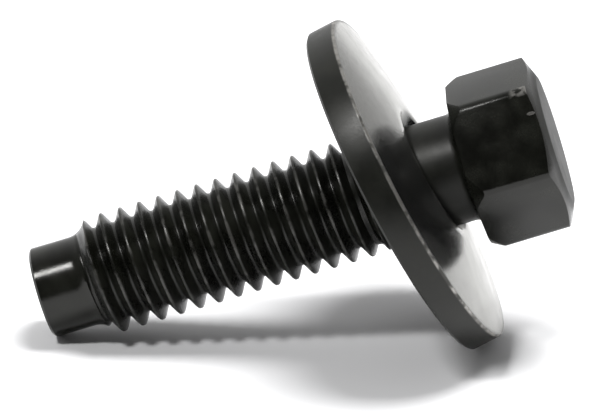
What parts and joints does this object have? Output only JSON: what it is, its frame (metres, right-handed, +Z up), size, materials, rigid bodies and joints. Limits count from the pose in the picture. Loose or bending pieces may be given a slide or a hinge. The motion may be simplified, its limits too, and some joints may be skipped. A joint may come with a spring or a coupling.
{
  "type": "hexagon head screw with captive washer",
  "caption": "Hexagon-head screw with a plain dog point, a reduced neck and a loose flat washer held captive by the thread.",
  "frame": {"origin": "on the ground under the middle of the whole, lying as it comes to rest", "axes": "+Z up; +X towards the head, with the screw's axis climbing about 18 degrees in the XZ plane; Y across"},
  "size_m": [0.0272, 0.0176, 0.0161],
  "materials": {
    "bolt_phosphate": "black phosphate and oil, satin",
    "washer_phosphate": "black phosphate and oil, satin, worn bright along the rim"
  },
  "bodies": {
    "bolt": {"bolt": "bolt_phosphate"},
    "washer": {"washer": "washer_phosphate"}
  },
  "joints": [
    {"name": "washer_spin", "type": "hinge", "parent": "bolt", "child": "washer", "pos_m": [0.0052, 0, 0.00808], "axis": [0.871, 0, 0.4912], "continuous": true}
  ]
}
